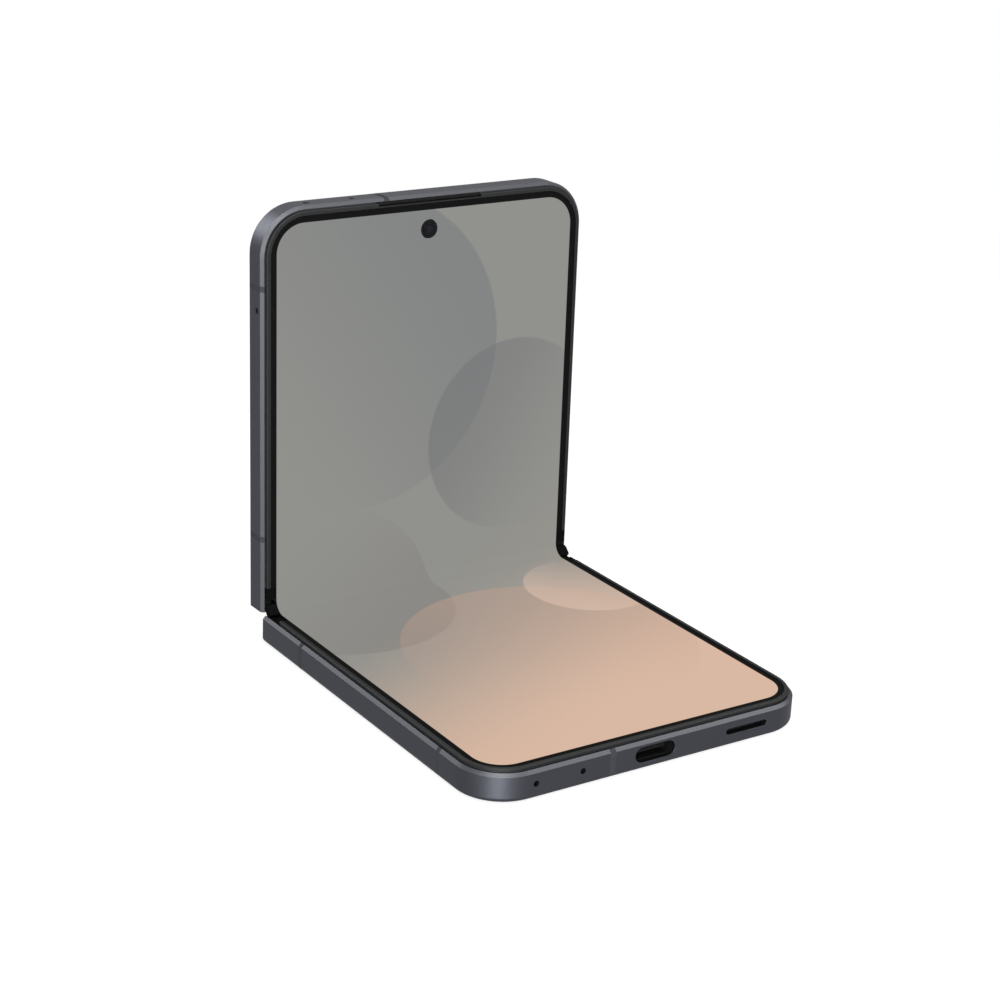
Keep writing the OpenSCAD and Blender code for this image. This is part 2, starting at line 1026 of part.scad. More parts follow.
module sub_board() {
    color("DarkGreen")
        on_lower()
            difference() {
                union() {
                    box([sub_x[0], sub_u[0], board_back], [sub_x[1], sub_u[1], board_w]);
                    for (p = sub_screws)
                        translate([p[0], p[1], board_w - lap])
                            cylinder(r = head_r, h = 2 * lap);
                }
                // Bay for the charging socket
                box([-usb_w / 2 - bay_gap, half_l - socket_l - beside, board_back - past],
                    [usb_w / 2 + bay_gap, half_l, board_w + past]);
                for (p = sub_screws)
                    screw_hole(p);
            }
}

module screw_hole(p) {
    translate([p[0], p[1], board_back - past])
        cylinder(r = screw_r + fit, h = board_t + lap + 2 * past);
}

module usb_socket() {
    color("Silver")
        on_lower()
            translate([0, 0, -port_d]) {
                along_u(half_l - socket_l, half_l - socket_d)
                    difference() {
                        stadium(usb_w - 2 * fit, usb_h - 2 * fit);
                        stadium(usb_w - 2 * fit - 2 * sheet, usb_h - 2 * fit - 2 * sheet);
                    }
                along_u(half_l - socket_l - sheet, half_l - socket_l)
                    stadium(usb_w - 2 * fit, usb_h - 2 * fit);
                // Tongue
                box([-tongue[0] / 2, half_l - socket_l - lap, -tongue[1] / 2],
                    [tongue[0] / 2, half_l - tongue_d, tongue[1] / 2]);
                // Legs that stand on the circuit board beside the bay
                both_sides()
                    box([usb_w / 2 - leg_in, half_l - socket_l, board_back + port_d - sheet],
                        [usb_w / 2 + leg_out, sub_u[1] - lap, board_back + port_d]);
            }
}

module loudspeaker() {
    color("DimGray")
        on_lower()
            difference() {
                union() {
                    box([speaker_x[0], speaker_u[0], speaker_low],
                        [speaker_x[1], speaker_u[1], mid_w]);
                    box([slot_x - slot_l / 2, speaker_u[1] - lap, speaker_low],
                        [slot_x + slot_l / 2, inner_l, mid_w]);
                }
                // Air duct to the slot in the end wall
                translate([slot_x, 0, -port_d])
                    along_u(speaker_u[1] - duct_l, inner_l + past)
                        stadium(slot_l - 2, slot_h);
                // Face of the diaphragm
                box([speaker_x[0] + face_rim, speaker_u[0] + face_rim, speaker_low - past],
                    [speaker_x[1] - face_rim, speaker_u[1] - face_rim, speaker_low + face_cut]);
            }
}

module microphones() {
    for (x = mic_xs)
        translate([x, 0, -port_d])
            difference() {
                box([-mic_w / 2, inner_l - mic_t, -mic_h / 2],
                    [mic_w / 2, inner_l - 2 * fit, mic_h / 2]);
                along_u(inner_l - mic_bore, inner_l + past)
                    circle(mic_d / 2);
            }
}

module lower_microphones() {
    color("Silver")
        on_lower()
            microphones();
}

module vibration_motor() {
    color("Silver")
        on_lower()
            box([motor_x, motor_u[0], mid_w - cell_t], [motor_x + motor_w, motor_u[1], mid_w]);
}

module charging_coil() {
    color("Chocolate")
        on_lower()
            translate([0, coil_u, 0]) {
                along_w(coil_w - ferrite_t, coil_w)
                    circle(coil_r + coil_pitch);
                for (i = [0:coil_turns - 1])
                    along_w(back_in, coil_w - ferrite_t / 2)
                        ring(coil_r - i * coil_pitch, coil_r - i * coil_pitch - wire);
            }
}

// ---------------------------------------------------------------- inside the upper half

module upper_battery() {
    color("DarkSlateGray")
        on_upper()
            box([reader_end + near, small_battery_u, mid_w - cell_t],
                [side_x - small_cell_side, small_bay_u, mid_w]);
}

module main_board() {
    color("DarkGreen")
        on_upper()
            difference() {
                union() {
                    box([-board_x, main_u[0], board_back], [board_x, main_u[1], board_w]);
                    box([-board_x, main_u[1] - near, board_back], [arm_edge, arm_end, board_w]);
                    for (p = main_screws)
                        translate([p[0], p[1], board_w - lap])
                            cylinder(r = head_r, h = 2 * lap);
                }
                for (p = main_screws)
                    screw_hole(p);
            }
}

module board_shields() {
    color("Silver")
        on_upper() {
            shield([reader_end + 2 * beyond, main_u[0] + beside, board_back - shield_t[0]],
                [board_x - small_can[0] - 2, main_u[1] - beside, board_back]);
            shield([beyond - board_x, main_u[1] + beyond, board_back - shield_t[0]],
                [arm_edge - 2, arm_end - beyond - near, board_back]);
            shield([board_x - small_can[0], main_u[0] + small_can[1], board_back - shield_t[1]],
                [board_x - small_can[1], main_u[1] - small_can[2], board_back]);
        }
}

// A can that is open towards the board
module shield(from, to) {
    difference() {
        box(from, to);
        box(from + sheet * [1, 1, 1], to + [-sheet, -sheet, past]);
    }
}

module card_reader() {
    top = board_back + tray_d + tray_drop;
    inside = tray_t / 2 + side_gap;
    color("Silver")
        on_upper()
            tray_plate()
                difference() {
                    box([fit - inner_x, -reader_w / 2, top - reader_t],
                        [reader_end, reader_w / 2, top]);
                    box([-inner_x - past, -tray_w / 2 - side_gap, -inside],
                        [tray_depth - side_x + side_gap, tray_w / 2 + side_gap, top + past]);
                }
}

module upper_microphones() {
    color("Silver")
        on_upper()
            microphones();
}

module earpiece() {
    from = [ear_x - receiver[0] / 2, receiver_u - receiver[1], mid_w - receiver[2]];
    color("DimGray")
        on_upper()
            difference() {
                box(from, from + receiver);
                box(from + [receiver_rim, receiver_rim, -past],
                    from + [receiver[0] - receiver_rim, receiver[1] - receiver_rim, sheet]);
            }
}

module earpiece_mesh() {
    color("Black")
        on_upper()
            box([fit - ear_l / 2, half_l - panel_inset + fit, -disp_t],
                [ear_l / 2 - fit, half_l - recess - fit, -disp_t + sheet]);
}

module selfie_camera() {
    color("Black")
        on_upper()
            translate([0, punch_u, 0]) {
                along_w(mid_w - lap, -fit)
                    circle(punch_d / 2 - 2 * fit);
                along_w(mid_w - selfie_t, mid_w)
                    square(selfie_w, center = true);
            }
}

module camera_rings() {
    color("Silver")
        on_upper()
            for (x = camera_xs)
                translate([x, cam_u, 0]) {
                    along_w(-body_t - ring_rise, -body_t)
                        ring(ring_r, lens_r + fit);
                    along_w(-body_t - lap, back_in)
                        ring(skirt_r, skirt_in);
                }
}

module camera_glasses() {
    color("Black")
        on_upper()
            for (x = camera_xs)
                translate([x, cam_u, 0])
                    along_w(-body_t - ring_rise + lens_in, -body_t - lap)
                        circle(lens_r);
}

module camera_modules() {
    color("DimGray")
        on_upper()
            for (x = camera_xs)
                translate([x, cam_u, 0]) {
                    along_w(back_in, mid_w)
                        square(module_w, center = true);
                    along_w(-body_t - lap, back_in + lap)
                        circle(skirt_in - 4 * fit);
                }
}

module lamp() {
    color("White")
        on_upper()
            translate([lamp_x, cam_u, 0]) {
                along_w(-body_t, back_in + lap)
                    circle(lamp_r);
                along_w(back_in, back_in + lamp_t)
                    square(lamp_w, center = true);
            }
}

module key_switches() {
    color("Silver")
        on_upper()
            for (k = [[power_u, power_l], [volume_u, volume_l]])
                translate([switch_x - button_l, k[0], -side_d]) {
                    box([-switch_t, -k[1] / 2, -switch_l / 2], [0, k[1] / 2, mid_w + side_d]);
                    for (s = k[1] > power_l + past ? [-1, 1] : [0])
                        translate([0, s * k[1] / 4, 0])
                            along_x(-switch_t / 2, button_l)
                                circle(button_r);
                }
}

// ---------------------------------------------------------------- keys and tray

module key(long) {
    along_x(inner_x - fit - lap, side_x + key_proud)
        stadium(long, key_w);
    along_x(inner_x - fit - flange_t, inner_x - fit)
        stadium(long + 2 * flange_w, key_w + 2 * flange_w);
}

module power_key() {
    color("DimGray")
        on_upper()
            translate([0, power_u, -side_d])
                key(power_l);
}

module volume_rocker() {
    color("DimGray")
        on_upper()
            translate([0, volume_u, -side_d])
                key(volume_l);
}

module card_tray() {
    color("DimGray")
        on_upper()
            difference() {
                union() {
                    tray_side(side_x - face_t, side_x)
                        stadium(tray_l, tray_h);
                    tray_plate()
                        box([face_t - lap - side_x, -tray_w / 2, -tray_t / 2],
                            [tray_depth - side_x, tray_w / 2, tray_t / 2]);
                }
                tray_side(side_x - face_t - past, side_x + past)
                    eject_hole();
                // Pocket for the card
                tray_plate()
                    box([card_at - card[1] / 2 - fit, -card[0] / 2 - fit, tray_t / 2 - card[2] - fit],
                        [card_at + card[1] / 2 + fit, card[0] / 2 + fit, tray_t / 2 + past]);
            }
}

module sim_card() {
    color("Goldenrod")
        on_upper()
            tray_plate()
                box([card_at - card[1] / 2, -card[0] / 2, tray_t / 2 - card[2] - fit],
                    [card_at + card[1] / 2, card[0] / 2, tray_t / 2 - fit]);
}

// ---------------------------------------------------------------- spine

// The spine's section, out to a half width and down to a level, not yet cut off on top
module spine_section(half, low, radius) {
    translate([radius - half, low])
        square([2 * (half - radius), -spine_top - low]);
    for (s = [-1, 1])
        translate([s * (half - radius), low + radius])
            circle(radius);
}

// What is cut off above the spine's edges
module above_spine() {
    translate([-spine_u - past, -spine_top])
        square([2 * (spine_u + past), 2 * spine_r]);
}

module core_section() {
    difference() {
        spine_section(core_u, core_w, core_r);
        above_spine();
    }
}

module spine_cover() {
    color("DimGray")
        on_spine()
            along_x(-spine_x, spine_x)
                difference() {
                    spine_section(spine_u, -spine_d, spine_r);
                    spine_section(core_u, core_w, core_r);
                    above_spine();
                }
}

// Axes of the gears in the spine, from the lower half's side to the upper half's
gear_places = [-gear_u, -pitch_r, pitch_r, gear_u];

module bearing_holes() {
    for (i = [0:3])
        translate([gear_places[i], -gear_d])
            circle((abs(gear_places[i]) > pitch_r ? shaft_r : pin_r) + fit);
}

module hinge_brackets() {
    color("Silver")
        on_spine()
            both_sides() {
                along_x(station_x, station_x + web_t)
                    difference() {
                        core_section();
                        bearing_holes();
                    }
                difference() {
                    along_x(block_x, block_end)
                        core_section();
                    along_x(block_x - past, block_x + web_t / 2)
                        bearing_holes();
                    groove(upper_rotor_x, 1);
                    groove(lower_rotor_x, -1);
                }
            }
}

// Groove that one rotor runs in, on one side of the spine
module groove(from, side) {
    along_x(from - side_gap, from + rotor_l + side_gap)
        translate([side * pivot_u, pivot_w])
            ring(rotor_out + fit, rotor_in - fit);
}

module hinge_end_caps() {
    color("Black")
        on_spine()
            both_sides() {
                along_x(cap_x, spine_x)
                    core_section();
                along_x(spine_x - cap_web, spine_x)
                    translate([-cap_u, -spine_top - lap])
                        square([2 * cap_u, spine_top + lap + cap_top]);
                along_x(spine_x - cap_web, cap_mid)
                    translate([-cap_u, cap_low])
                        square([2 * cap_u, cap_top - cap_low]);
                along_x(cap_mid - lap, cap_end)
                    translate([-cap_tip_u, cap_tip_low])
                        square([2 * cap_tip_u, cap_tip_top - cap_tip_low]);
            }
}

module friction_clips() {
    color("LightGray")
        on_spine()
            both_sides()
                along_x(clip_x, clip_x + clip_l)
                    difference() {
                        intersection() {
                            core_section();
                            translate([-gear_u - clip_rim, core_w])
                                square([2 * (gear_u + clip_rim), -spine_top - core_w - lap]);
                        }
                        bearing_holes();
                        // Slits that let the clip grip the shafts
                        for (s = [-1, 1])
                            translate([s * gear_u - slit / 2, -gear_d])
                                square([slit, gear_d]);
                        translate([-pitch_r - clip_rim, -gear_d - mouth_low])
                            square([2 * (pitch_r + clip_rim), gear_d]);
                    }
}

// Fold of the display, bent as it is at rest. It is narrower between the end caps.
module display_fold() {
    color("Gray")
        on_spine() {
            along_x(-fold_x, fold_x) {
                translate([0, meet_w + bend_r / cos(turn)])
                    intersection() {
                        ring(bend_r + disp_t, bend_r);
                        wedge(bend_r + disp_t + past, -90 - turn, turn - 90);
                    }
                fold_arms(fold_u0 + bend_r * tan(turn) - fit);
            }
            along_x(panel_inset - side_x, side_x - panel_inset)
                fold_arms(bezel_end);
        }
}

// Straight parts of the fold, from a distance along each half to where it is bonded
module fold_arms(from) {
    for (s = [0, 1])
        mirror([s, 0])
            translate([0, meet_w])
                rotate(turn)
                    translate([from - fold_u0, -disp_t])
                        square([bond_u - from, disp_t]);
}

module hinge_flex() {
    color("Chocolate")
        on_spine()
            along_x(-flex_x, flex_x)
                translate([0, flex_c])
                    intersection() {
                        ring(flex_r, flex_r - flex_t);
                        wedge(flex_r + past, -90 - flex_a, flex_a - 90);
                    }
}

// ---------------------------------------------------------------- gear train

module gear(phase) {
    circle(root_r);
    for (i = [0:teeth - 1])
        rotate(phase + i * 360 / teeth)
            polygon([
                tooth_point(root_r - lap, tooth_a * root_share),
                tooth_point(root_r, tooth_a * root_share),
                tooth_point(pitch_r, tooth_a / 2),
                tooth_point(tip_r, tooth_a * tip_share),
                tooth_point(tip_r, -tooth_a * tip_share),
                tooth_point(pitch_r, -tooth_a / 2),
                tooth_point(root_r, -tooth_a * root_share),
                tooth_point(root_r - lap, -tooth_a * root_share)
            ]);
}

function tooth_point(r, a) = [r * cos(a), r * sin(a)];

// Arm with its shaft and gear, on the +u side, turned from flat by an angle
module sync_arm(phase, angle) {
    translate([0, gear_u, -gear_d]) {
        along_x(gear_x, gear_x + gear_l)
            gear(phase);
        along_x(clip_x - past, block_x + web_t / 2 - fit)
            circle(shaft_r);
        along_x(arm_x, arm_x + arm_l)
            rotate(angle) {
                circle(pitch_r - fit);
                translate([-arm_back, 0])
                    square([post_t, gear_d - arm_low + arm_t]);
                translate([-arm_back, gear_d - arm_low])
                    square([guide_u - gear_u + arm_tip, arm_t]);
            }
        along_x(arm_x + arm_l - lap, guide_x + guide_web - fit)
            rotate(angle)
                translate([guide_u - gear_u, guide_w + gear_d])
                    circle(guide_r);
    }
}

module lower_sync_arms() {
    color("Silver")
        on_spine()
            mirror([0, 1, 0])
                both_sides()
                    sync_arm(0, turn);
}

module upper_sync_arms() {
    color("Silver")
        on_spine()
            both_sides()
                sync_arm(180 / teeth, turn);
}

module idler(side, phase) {
    both_sides()
        translate([0, side * pitch_r, -gear_d]) {
            along_x(gear_x, gear_x + gear_l)
                gear(phase);
            along_x(station_x, block_x + web_t / 2 - fit)
                circle(pin_r);
        }
}

module lower_idlers() {
    color("Gainsboro")
        on_spine()
            idler(-1, 180 / teeth);
}

module upper_idlers() {
    color("Gainsboro")
        on_spine()
            idler(1, 0);
}

// ---------------------------------------------------------------- wings

module wing() {
    translate([0, rod_u, rod_w])
        rotate([wing_turn / 2, 0, 0]) {
            box([-wing_x, wing_u - rod_u, wing_w - wing_t - rod_w], [wing_x, 0, wing_w - rod_w]);
            along_x(-lug_x - lug_l, lug_x + lug_l)
                circle(rod_r);
        }
}

module lower_wing() {
    color("LightGray")
        on_lower()
            wing();
}

module upper_wing() {
    color("LightGray")
        on_upper()
            wing();
}

lower_frame();
lower_antenna_bands();
lower_back_glass();
lower_bezel();
lower_fold_seals();
lower_display();
lower_display_plate();
lower_hinge_plates();
lower_screws();
lower_battery();
sub_board();
usb_socket();
loudspeaker();
lower_microphones();
vibration_motor();
charging_coil();
upper_frame();
upper_antenna_bands();
cover_glass();
cover_display();
upper_bezel();
upper_fold_seals();
upper_display();
upper_display_plate();
upper_hinge_plates();
upper_screws();
upper_battery();
main_board();
board_shields();
card_reader();
upper_microphones();
earpiece();
earpiece_mesh();
selfie_camera();
camera_rings();
camera_glasses();
camera_modules();
lamp();
key_switches();
power_key();
volume_rocker();
card_tray();
sim_card();
spine_cover();
hinge_brackets();
hinge_end_caps();
friction_clips();
display_fold();
hinge_flex();
lower_sync_arms();
upper_sync_arms();
lower_idlers();
upper_idlers();
lower_wing();
upper_wing();
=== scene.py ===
import json
import math

import bmesh
import bpy
from mathutils import Matrix, Vector


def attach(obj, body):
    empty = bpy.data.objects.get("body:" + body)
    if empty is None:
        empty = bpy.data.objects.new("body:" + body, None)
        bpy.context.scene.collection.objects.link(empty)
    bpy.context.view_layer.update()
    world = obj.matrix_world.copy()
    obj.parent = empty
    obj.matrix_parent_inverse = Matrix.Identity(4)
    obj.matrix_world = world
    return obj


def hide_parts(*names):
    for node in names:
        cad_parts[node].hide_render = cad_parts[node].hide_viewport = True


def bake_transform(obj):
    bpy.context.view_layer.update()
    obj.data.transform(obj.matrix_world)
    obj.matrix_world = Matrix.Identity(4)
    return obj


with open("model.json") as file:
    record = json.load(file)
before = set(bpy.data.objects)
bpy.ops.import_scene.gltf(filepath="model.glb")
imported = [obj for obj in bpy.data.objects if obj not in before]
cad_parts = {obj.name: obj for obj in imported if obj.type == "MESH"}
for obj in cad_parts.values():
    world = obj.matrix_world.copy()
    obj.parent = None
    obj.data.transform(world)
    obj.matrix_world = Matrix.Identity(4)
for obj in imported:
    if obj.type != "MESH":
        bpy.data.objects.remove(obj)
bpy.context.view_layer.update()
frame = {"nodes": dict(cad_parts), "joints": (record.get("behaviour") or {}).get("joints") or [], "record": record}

MM = 0.001

# ---------------------------------------------------------------- sizes, in millimetres

HALF_WIDTH = 37.6
HALF_LENGTH = 83.35
CORNER_RADIUS = 9.5
PIVOT_U, PIVOT_W = 1.4, -0.85
PANEL_INSET = 1.3
PANEL_DEPTH = 0.7
BOND_U = 9.8
BEND_RADIUS = 2.8
BEZEL_END = 5.6
RECESS = 0.65
CHAMFER_LOW = -1.1
PUNCH_RADIUS = 2.0
FOLD_HALF_WIDTH = 34.7
LIT_HALF_WIDTH = 34.52
LIT_END = 80.25
LIT_CORNER = 6.0
PUNCH_U = 76.3
CAMERA_XS = (25.2, 9.4)
CAMERA_U = 71.6
SLOT_X = 21.5
PORT_DEPTH = 3.2
EJECT_U, EJECT_W, EJECT_RADIUS = 63.1, -2.5, 0.6
COIL_U = 37.5
# The openings in the end wall lie within a half width, those in the sides between two distances
TUNNEL_HALF_WIDTH = 28.4
POCKET_START, POCKET_END = 20.0, 72.0
OPENING_TOP, OPENING_BOTTOM = -1.3, -5.2
# Their walls take near-black painted shade between these two depths behind the outer face
MOUTH, THROAT = 0.1, 0.16
REST_TURN = math.radians(44.5)
CABLE_CENTRE, CABLE_RADIUS = 4.05, 7.45
CABLE_TURN = math.radians(77.8)
CABLE_HALF_WIDTH = 8.0
CABLE_THICKNESS = 0.1
CABLE_STEPS, CABLE_COLUMNS = 48, 6
# Two angles from the middle of the cable's bend: the first towards its half, the second towards the spine
CABLE_HELD, CABLE_FREE = math.radians(56), math.radians(44)


def joint(name):
    return next(j for j in frame["joints"] if j["name"] == name)


LOWER_AXIS = Vector(joint("fold_lower")["pos_m"]) / MM
UPPER_AXIS = Vector(joint("fold_upper")["pos_m"]) / MM


def turned(axis, angle, x, along, above):
    """A place given across, along and above an axis, turned up about it."""
    c, s = math.cos(angle), math.sin(angle)
    return Vector((axis.x + x, axis.y + along * c - above * s, axis.z + along * s + above * c)) * MM


def on_lower(x, u, w):
    """A place on the lower half, from its distance across, along and above the display."""
    return Vector((LOWER_AXIS.x + x, LOWER_AXIS.y + PIVOT_U - u, LOWER_AXIS.z - PIVOT_W + w)) * MM


def on_upper(x, u, w):
    """The same on the upper half."""
    return turned(UPPER_AXIS, 2 * REST_TURN, x, u - PIVOT_U, w - PIVOT_W)


def on_spine(x, u, w):
    """The same on the spine, with the upper half on its +u side."""
    return turned(LOWER_AXIS, REST_TURN, x, u + PIVOT_U, w - PIVOT_W)


# Where the two display faces would meet at rest, in the spine and along a half
_foot = PIVOT_U + PIVOT_W * math.sin(REST_TURN)
MEET_W = PIVOT_W - PIVOT_W * math.cos(REST_TURN) - _foot * math.tan(REST_TURN)
MEET_U = PIVOT_U - _foot / math.cos(REST_TURN)
BEND_START = MEET_U + BEND_RADIUS * math.tan(REST_TURN)
BEND_CENTRE = MEET_W + BEND_RADIUS / math.cos(REST_TURN)


# ---------------------------------------------------------------- shader maths

class Maths:
    """A number socket that adds Math nodes when it is used in an expression."""

    def __init__(self, build, socket):
        self.build, self.socket = build, socket

    def _with(self, operation, other, swap=False):
        first, second = (other, self) if swap else (self, other)
        return self.build.maths(operation, first, second)

    def __add__(self, other): return self._with("ADD", other)
    def __radd__(self, other): return self._with("ADD", other, True)
    def __sub__(self, other): return self._with("SUBTRACT", other)
    def __rsub__(self, other): return self._with("SUBTRACT", other, True)
    def __mul__(self, other): return self._with("MULTIPLY", other)
    def __rmul__(self, other): return self._with("MULTIPLY", other, True)
    def __truediv__(self, other): return self._with("DIVIDE", other)
    def __rtruediv__(self, other): return self._with("DIVIDE", other, True)
    def __pow__(self, other): return self._with("POWER", other)


class Finish:
    """One material, built from nodes."""

    def __init__(self, name):
        self.material = bpy.data.materials.new(name)
        self.material.use_nodes = True
        self.tree = self.material.node_tree
        self.tree.nodes.clear()
        self.output = self.tree.nodes.new("ShaderNodeOutputMaterial")

    def feed(self, socket, value):
        if isinstance(value, Maths):
            value = value.socket
        if isinstance(value, bpy.types.NodeSocket):
            self.tree.links.new(value, socket)
        elif isinstance(value, (tuple, list)) and socket.type == "RGBA" and len(value) == 3:
            socket.default_value = (*value, 1.0)
        else:
            socket.default_value = value

    def node(self, kind, settings=None, **inputs):
        """Add a node: its settings first, then the values or links of its sockets."""
        made = self.tree.nodes.new(kind)
        for key, value in (settings or {}).items():
            setattr(made, key, value)
        for key, value in inputs.items():
            name = key.strip("_")
            socket = made.inputs[int(name)] if name.isdigit() else made.inputs[name.replace("_", " ")]
            self.feed(socket, value)
        return made

    def maths(self, operation, *values):
        made = self.tree.nodes.new("ShaderNodeMath")
        made.operation = operation
        for socket, value in zip(made.inputs, values):
            self.feed(socket, value)
        return Maths(self, made.outputs[0])

    def number(self, socket):
        return Maths(self, socket)

    def smooth(self, value, low, high):
        """0 below low, 1 above high, smooth between them."""
        made = self.node("ShaderNodeMapRange", {"interpolation_type": "SMOOTHSTEP"}, Value=value)
        made.inputs["From Min"].default_value = low
        made.inputs["From Max"].default_value = high
        return self.number(made.outputs["Result"])

    def mix(self, factor, first, second):
        """A colour between two colours."""
        made = self.node("ShaderNodeMix", {"data_type": "RGBA"})
        self.feed(made.inputs[0], factor)
        self.feed(made.inputs[6], first)
        self.feed(made.inputs[7], second)
        return made.outputs[2]

    def place(self):
        return self.node("ShaderNodeTexCoord").outputs["Object"]

    def parts(self, vector):
        made = self.node("ShaderNodeSeparateXYZ", None, Vector=vector)
        return [self.number(o) for o in made.outputs]

    def noise(self, vector, scale, detail=2.0, rough=0.5):
        made = self.node("ShaderNodeTexNoise", None, Vector=vector, Scale=scale,
                         Detail=detail, Roughness=rough)
        return self.number(made.outputs["Fac"])

    def stretched(self, vector, scale):
        made = self.node("ShaderNodeMapping", None, Vector=vector, Scale=scale)
        return made.outputs["Vector"]

    def bump(self, height, strength, distance):
        made = self.node("ShaderNodeBump", None, Height=height, Strength=strength,
                         Distance=distance)
        return made.outputs["Normal"]

    def surface(self, **inputs):
        made = self.node("ShaderNodeBsdfPrincipled", None, **inputs)
        self.tree.links.new(made.outputs[0], self.output.inputs["Surface"])
        return made


def linear(r, g, b):
    """A colour as seen on screen, 0 to 255, as the shader's linear colour."""
    def one(v):
        v /= 255
        return v / 12.92 if v <= 0.04045 else ((v + 0.055) / 1.055) ** 2.4
    return (one(r), one(g), one(b))


# ---------------------------------------------------------------- finishes

# Near-black colour painted as shade inside recesses and openings
PAINTED_SHADE = (0.004, 0.004, 0.004)


def tones(colour, deep, light):
    """A deeper and a lighter tone of one colour."""
    return tuple(c * deep for c in colour), tuple(min(1, c * light) for c in colour)


def anodised(name, colour, roughness=0.42, grain=0.05):
    """Blasted and anodised aluminium: fine even grain with slight clouds."""
    f = Finish(name)
    place = f.place()
    blast = f.noise(place, 9000, 2.0, 0.6)
    cloud = f.noise(place, 90, 3.0, 0.55)
    shade = f.mix(cloud * 0.5 + blast * 0.35, *tones(colour, 0.86, 1.16))
    f.surface(Base_Color=shade, Metallic=1.0, Roughness=blast * 0.12 + (roughness - 0.06),
              Normal=f.bump(blast, grain, 0.00002))
    return f.material


def moulded(name, colour, roughness=0.5, grain=0.08, coat=0.0, scale=6000, shine=0.5):
    """Moulded plastic with a fine texture."""
    f = Finish(name)
    place = f.place()
    fine = f.noise(place, scale, 3.0, 0.6)
    cloud = f.noise(place, 120, 2.0, 0.5)
    shade = f.mix(cloud, *tones(colour, 0.88, 1.12))
    f.surface(Base_Color=shade, Roughness=fine * 0.1 + (roughness - 0.05), Coat_Weight=coat,
              Specular_IOR_Level=shine, Normal=f.bump(fine, grain, 0.00002))
    return f.material


def brushed(name, colour, axis=0, roughness=0.34):
    """Sheet or machined metal with grain along one axis."""
    f = Finish(name)
    scale = [9000.0] * 3
    scale[axis] = 300.0
    grain = f.noise(f.stretched(f.place(), tuple(scale)), 1.0, 3.0, 0.6)
    shade = f.mix(grain, *tones(colour, 0.8, 1.1))
    f.surface(Base_Color=shade, Metallic=1.0, Roughness=grain * 0.2 + (roughness - 0.1),
              Normal=f.bump(grain, 0.12, 0.00001))
    return f.material


def polished(name, colour, roughness=0.08, haze=0.04):
    """Smooth coated glass with faint unevenness."""
    f = Finish(name)
    haze_map = f.noise(f.place(), 60, 2.0, 0.5)
    shade = f.mix(haze_map, *tones(colour, 0.9, 1.1))
    f.surface(Base_Color=shade, Roughness=haze_map * haze + (roughness - haze / 2),
              Coat_Weight=0.1, Specular_IOR_Level=0.2)
    return f.material


def half_place(f, half):
    """Sockets for the distance across, along and above a half, in millimetres."""
    x, y, z = [value / MM for value in f.parts(f.place())]
    if half == "lower":
        return x - LOWER_AXIS.x, y * -1.0 + (LOWER_AXIS.y + PIVOT_U), z - (LOWER_AXIS.z - PIVOT_W)
    c, s = math.cos(2 * REST_TURN), math.sin(2 * REST_TURN)
    back, up = y - UPPER_AXIS.y, z - UPPER_AXIS.z
    return x - UPPER_AXIS.x, back * c + up * s + PIVOT_U, up * c - back * s + PIVOT_W


def half_frame(name, half, colour, roughness=0.4, grain=0.05):
    """Anodised aluminium of one half, with near-black painted shade inside the edges beside the fold and in its
    openings.
    """
    f = Finish(name)
    place = f.place()
    blast = f.noise(place, 9000, 2.0, 0.6)
    cloud = f.noise(place, 90, 3.0, 0.55)
    shade = f.mix(cloud * 0.5 + blast * 0.35, *tones(colour, 0.88, 1.14))
    x, u, w = half_place(f, half)
    across = f.maths("ABSOLUTE", x)
    # Painted shade on the frame's inner surfaces beside the fold
    inside = f.smooth(across, HALF_WIDTH - RECESS + 0.02, HALF_WIDTH - RECESS - 0.02)
    near = f.smooth(u, BEZEL_END + 0.1, BEZEL_END - 0.1)
    # Painted shade on the walls of the openings in the end wall, behind their mouths
    tunnels = (f.smooth(across, TUNNEL_HALF_WIDTH + 0.1, TUNNEL_HALF_WIDTH)
               * f.smooth(u, HALF_LENGTH - MOUTH, HALF_LENGTH - THROAT)
               * f.smooth(w, OPENING_TOP, OPENING_TOP - 0.05))
    # Painted shade on the walls of the openings in the sides
    pockets = (f.smooth(across, HALF_WIDTH - MOUTH, HALF_WIDTH - THROAT)
               * f.smooth(w, OPENING_TOP, OPENING_TOP - 0.05)
               * f.smooth(w, OPENING_BOTTOM, OPENING_BOTTOM + 0.1)
               * f.smooth(u, POCKET_START, POCKET_START + 0.1)
               * f.smooth(u, POCKET_END, POCKET_END - 0.1))
    dark = f.maths("MAXIMUM", f.maths("MAXIMUM", inside * near, tunnels), pockets)
    # The cut edge round the front has a deeper tone
    edge = f.smooth(w, CHAMFER_LOW - 0.06, CHAMFER_LOW + 0.06)
    shade = f.mix(edge, shade, EDGE_COLOUR)
    # The painted shade is near black and not metal
    shade = f.mix(dark, shade, PAINTED_SHADE)
    f.surface(Base_Color=shade, Metallic=1 - dark,
              Roughness=blast * 0.12 + edge * 0.06 + (roughness - 0.06),
              Specular_IOR_Level=0.05, Normal=f.bump(blast, grain, 0.00002))
    return f.material


def tray_metal(name, colour):
    """Anodised aluminium of the card tray, with near-black painted shade inside the eject hole."""
    f = Finish(name)
    blast = f.noise(f.place(), 9000, 2.0, 0.6)
    shade = f.mix(blast, *tones(colour, 0.9, 1.1))
    x, u, w = half_place(f, "upper")
    du, dw = u - EJECT_U, w - EJECT_W
    reach = f.maths("SQRT", du * du + dw * dw)
    # Painted shade inside the eject hole, behind its mouth
    inside = (f.smooth(reach, EJECT_RADIUS + 0.05, EJECT_RADIUS + 0.02)
              * f.smooth(f.maths("ABSOLUTE", x), HALF_WIDTH - MOUTH, HALF_WIDTH - THROAT))
    f.surface(Base_Color=f.mix(inside, shade, PAINTED_SHADE), Metallic=1 - inside,
              Roughness=blast * 0.12 + 0.34, Specular_IOR_Level=0.05,
              Normal=f.bump(blast, 0.05, 0.00002))
    return f.material


